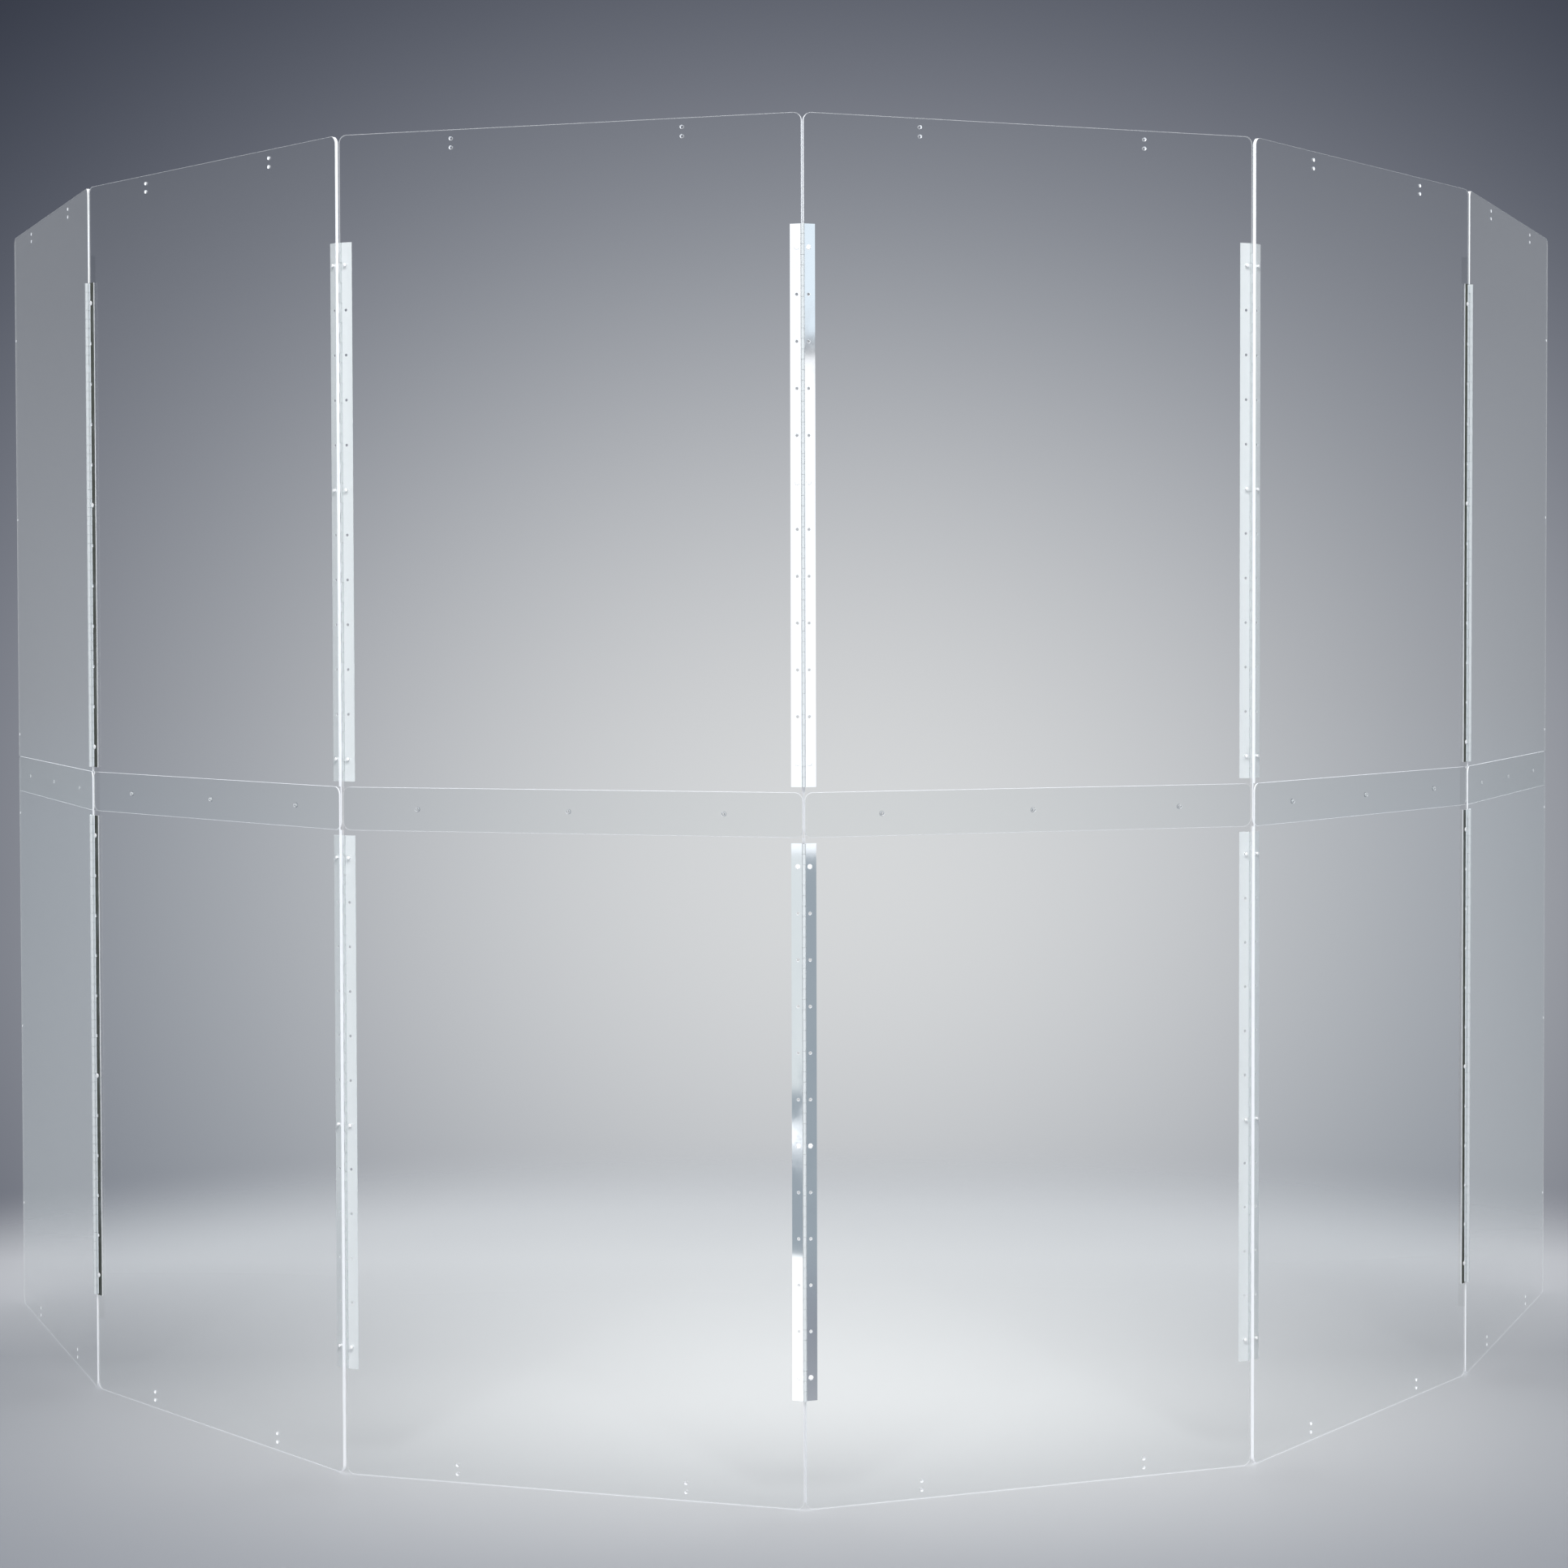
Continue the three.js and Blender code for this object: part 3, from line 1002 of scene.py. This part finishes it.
studio = {
    "floorRadius": 14.0,
    "floorSteps": 96,  # round its edge
    "floorDrop": 0.5 * mm,  # below the shield's feet
    "floorFade": (1.35, 2.2),  # distances over which the floor gives way to the backdrop
    # the floor's colour paints light and shade: a pool of light round the shield, painted shade towards the
    # audience and paler floor behind
    "paintedPoolColour": (0.92, 0.92, 0.915, 1),
    "paintedShadeFront": (0.215, 0.23, 0.265, 1),
    "paintedLightBack": (0.66, 0.67, 0.695, 1),
    "paintedFalloffTurn": (0.2, 0.9),  # how far behind the middle the floor's painted shade turns pale
    "floorCloud": (0.5, 0.51, 0.53, 1),
    "floorClouded": 0.05,  # the most of the cloud's colour anywhere
    "paintedPoolMiddle": 0.05,  # how far the painted pool of light lies to the right
    "paintedPoolSpread": (0.68, 0.55),  # across and towards the audience
    "paintedPoolBehind": 0.5,  # how much slower the painted pool of light fades towards the drummer
    "glow": (0.705, 0.71, 0.715),
    "glowAim": (1.3, -4.3),  # degrees to the right of +Y and above the horizon
    "glowSpread": (10.1, 10.3, 10.9),  # of red, green and blue, across
    "glowFlatness": 1.2,  # how much faster the glow fades upwards than across
    "gloom": (0.002, 0.003, 0.007),
    "room": (0.29, 0.305, 0.33, 1),
    "roomBelow": (0.325, 0.375, 0.42, 1),  # what is seen below the horizon, away from the glow
    "roomTurn": (-0.02, -0.06),  # how far down it begins and is full
    "roomFrom": (24.0, 36.0),  # degrees from the glow over which the room takes over
    "wings": (0.48, 0.515, 0.545, 1),  # pale screens on both sides, behind the drummer
    "wingAt": (38.0, 9.0),  # their bearing from +Y and their half width
    "wingFade": (-0.2, 0.1, 1.0, 0.15),  # from how low to how high they fade, and from what to what
    "card": (0.09, 0.095, 0.08, 1),
    "cardReach": 0.28,  # the longest ray that sees a card
    "cardSize": (0.0305, 1.6),
    "cardHeight": 0.845,  # of the middle
    "cards": {  # place and bearing
        "cardLeft": (-1.2292, 0.0836, -72.6),
        "cardRight": (1.2068, 0.1746, 64.5),
    },
}


def bell(tree, value, spread):
    # falls from 1 to 0 as a bell curve
    ratio = math2(tree, "DIVIDE", value, spread)
    return math2(tree, "EXPONENT", times(tree, times(tree, ratio, ratio), -0.5))


def floorMaterial():
    material, tree, shader, output = newMaterial("paleFloor")
    setSockets(shader, {"Roughness": 0.6})
    # painted light and shade: a pool of light round the middle, darker towards the audience, paler behind
    where = tree.nodes.new("ShaderNodeTexCoord").outputs["Object"]
    at = parts(tree, where)
    behind = times(tree, math2(tree, "MAXIMUM", at["Y"], 0.0), studio["paintedPoolBehind"])
    depth = plus(tree, behind, math2(tree, "MINIMUM", at["Y"], 0.0))
    across, along = studio["paintedPoolSpread"]
    aside = minus(tree, at["X"], studio["paintedPoolMiddle"])
    reach = vector(tree, math2(tree, "DIVIDE", aside, across), math2(tree, "DIVIDE", depth, along))
    paintedPool = bell(tree, lengthOf(tree, reach), 1.0)
    paler = rangeOf(tree, at["Y"], *studio["paintedFalloffTurn"], 0.0, 1.0)
    away = mixColour(tree, paler, studio["paintedShadeFront"], studio["paintedLightBack"])
    shade = mixColour(tree, paintedPool, away, studio["paintedPoolColour"])
    cloud = stretchedNoise(tree, where, (1, 1, 1), 0.9, 2)
    clouded = rangeOf(tree, cloud, 0.3, 0.7, 0.0, studio["floorClouded"])
    tree.links.new(mixColour(tree, clouded, shade, studio["floorCloud"]), shader.inputs["Base Color"])
    fade = rangeOf(tree, lengthOf(tree, where), *studio["floorFade"], 0.0, 1.0, smooth=True)
    tree.links.new(clearWhere(tree, fade, shader).outputs[0], output.inputs["Surface"])
    return material


def makeFloor():
    shape = bmesh.new()
    edge = {"segments": studio["floorSteps"], "radius": studio["floorRadius"]}
    bmesh.ops.create_circle(shape, cap_ends=True, cap_tris=True, **edge)
    bmesh.ops.translate(shape, verts=shape.verts[:], vec=(0, 0, -studio["floorDrop"]))
    floor = linked("studioFloor", meshOf(shape, "studioFloor", floorMaterial()))
    floor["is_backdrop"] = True


def makeBackdrop():
    # a soft glow behind the screen, dark round it, and an even grey room beyond
    world = bpy.data.worlds.new("studioBackdrop")
    world.use_nodes = True
    scene.world = world
    tree = world.node_tree
    tree.nodes.clear()
    output = tree.nodes.new("ShaderNodeOutputWorld")
    at = parts(tree, tree.nodes.new("ShaderNodeTexCoord").outputs["Generated"])
    bearing = math2(tree, "ARCTAN2", at["X"], at["Y"])
    right, up = (math.radians(angle) for angle in studio["glowAim"])
    steep = times(tree, minus(tree, math2(tree, "ARCSINE", at["Z"]), up), studio["glowFlatness"])
    reach = lengthOf(tree, vector(tree, minus(tree, bearing, right), steep))
    channels = []
    for peak, spread, least in zip(studio["glow"], studio["glowSpread"], studio["gloom"]):
        channels.append(plus(tree, times(tree, bell(tree, reach, math.radians(spread)), peak), least))
    lit = put(tree, "ShaderNodeCombineColor", dict(enumerate(channels))).outputs[0]
    begins, full = (math.radians(angle) for angle in studio["roomFrom"])
    room = rangeOf(tree, reach, begins, full, 0.0, 1.0, smooth=True)
    wingBearing, halfWidth = (math.radians(angle) for angle in studio["wingAt"])
    aside = minus(tree, math2(tree, "ABSOLUTE", bearing), wingBearing)
    wings = times(tree, bell(tree, aside, halfWidth), rangeOf(tree, at["Z"], *studio["wingFade"]))
    floorwards = rangeOf(tree, at["Z"], *studio["roomTurn"], 0.0, 1.0)
    plain = mixColour(tree, floorwards, studio["room"], studio["roomBelow"])
    around = mixColour(tree, wings, plain, studio["wings"])
    colour = mixColour(tree, room, lit, around)
    back = put(tree, "ShaderNodeBackground", {"Color": colour, "Strength": 1.0})
    tree.links.new(back.outputs[0], output.inputs["Surface"])


def makeCards():
    # narrow dark cards that show in the polished leaves of the second and fifth columns; they
    # are clear to longer rays, so that the panels don't mirror them at other angles
    material, tree, shader, output = newMaterial("darkCard")
    setSockets(shader, {"Base Color": studio["card"], "Roughness": 1.0})
    rayLength = tree.nodes.new("ShaderNodeLightPath").outputs["Ray Length"]
    far = math2(tree, "GREATER_THAN", rayLength, studio["cardReach"])
    tree.links.new(clearWhere(tree, far, shader).outputs[0], output.inputs["Surface"])
    wide, tall = studio["cardSize"]
    for name, (x, y, bearing) in studio["cards"].items():
        mesh = bpy.data.meshes.new(name)
        corners = [(a * wide / 2, 0, b * tall / 2) for a, b in ((-1, -1), (1, -1), (1, 1), (-1, 1))]
        mesh.from_pydata(corners, [], [(0, 1, 2, 3)])
        turn = Matrix.Rotation(math.radians(-bearing), 4, "Z")
        mesh.transform(Matrix.Translation((x, y, studio["cardHeight"])) @ turn)
        mesh.materials.append(material)
        card = linked(name, mesh)
        card.visible_camera = card.visible_diffuse = card.visible_transmission = card.visible_shadow = False
        card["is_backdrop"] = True


def addSoftbox(name, place, aim, size, radiance, colour=(1, 1, 1), lit=None, mirrored=False):
    lamp = bpy.data.lights.new(name, "AREA")
    lamp.shape = "RECTANGLE"
    lamp.size, lamp.size_y = size
    lamp.energy = radiance * math.pi * size[0] * size[1]
    lamp.color = colour
    lamp.cycles.use_multiple_importance_sampling = mirrored
    holder = linked(name, lamp)
    holder.location = place
    holder.rotation_euler = (Vector(aim) - Vector(place)).to_track_quat("-Z", "Y").to_euler()
    holder.visible_camera = holder.visible_transmission = False
    holder.visible_glossy = mirrored
    if lit is not None:
        holder.light_linking.receiver_collection = lit


def makeLights():
    # the boxes that show in the polished metal light it alone, so that the clear panels stay clear
    metal, dressed = (bpy.data.collections.new(name) for name in ("metalPieces", "dressedPieces"))
    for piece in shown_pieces():
        dressed.objects.link(piece)
        if any(slot.material in (brightPlate, rivetAluminium, drawnWire) for slot in piece.material_slots):
            metal.objects.link(piece)
    plain, ice, pale = (1, 1, 1), (0.78, 0.91, 1.0), (0.86, 0.96, 1.0)
    warm, green = (1.0, 0.985, 0.95), (1.0, 1.0, 0.93)
    mirrored = {  # place, aim, size, radiance and colour
        "boxLeft": ((-2.25, -4.25, 1.45), (0, -0.6, 1.4), (1.7, 1.9), 0.8, plain),
        "boxLeftLow": ((-2.25, -4.25, 0.185), (0, -0.6, 0.185), (1.7, 0.62), 0.4, green),
        "boxRight": ((2.65, -4.0, 1.15), (0, -0.6, 1.2), (1.8, 1.3), 0.8, plain),
        "boxRightHigh": ((2.65, -4.0, 2.3), (0, -0.6, 1.6), (1.8, 0.9), 0.66, ice),
        "wingLeft": ((-3.9, 4.1, 0.9), (-1, 0, 0.9), (2.6, 4.4), 1.15, pale),
        "wingRight": ((3.9, 4.1, 0.9), (1, 0, 0.9), (2.6, 4.4), 1.15, pale),
        "floorNear": ((-0.49, -1.41, 0.02), (-0.49, -1.41, 1), (0.62, 0.86), 1.05, warm),
        "floorFar": ((-1.4, -2.89, 0.02), (-1.4, -2.89, 1), (1.0, 0.28), 1.0, plain),
    }
    for name, settings in mirrored.items():
        addSoftbox(name, *settings, lit=metal, mirrored=True)
    addSoftbox("frontFill", (0, -3.4, 0.25), (0, -0.4, 0.6), (3.2, 0.5), 6.6, lit=dressed)
    addSoftbox("overhead", (0, 0.3, 4.8), (0, 0.1, 0), (3.4, 3.0), 3.7)
    addSoftbox("frontTop", (0, -4.6, 4.4), (0, -0.3, 0.9), (4.0, 1.4), 13.0)


def makeCamera():
    view = {
        "place": (-16.8 * mm, -4365.6 * mm, 1080.0 * mm),
        "tiltDown": 1.565,
        "roll": -0.143,
        "lens": 70.52,
        "sensor": 36.0,
        "shift": (0.0051, -0.0437),
        "seen": (0.05, 60),
    }
    lens = bpy.data.cameras.new("photoCamera")
    lens.sensor_width = view["sensor"]
    lens.lens = view["lens"]
    lens.shift_x, lens.shift_y = view["shift"]
    lens.clip_start, lens.clip_end = view["seen"]
    camera = linked("photoCamera", lens)
    camera.location = view["place"]
    level = Matrix.Rotation(math.radians(90 - view["tiltDown"]), 4, "X")
    camera.rotation_euler = (level @ Matrix.Rotation(math.radians(view["roll"]), 4, "Z")).to_euler()
    scene.camera = camera


makeFloor()
makeBackdrop()
makeCards()
makeLights()
makeCamera()
scene.view_settings.view_transform = "Standard"
print("studio ready")
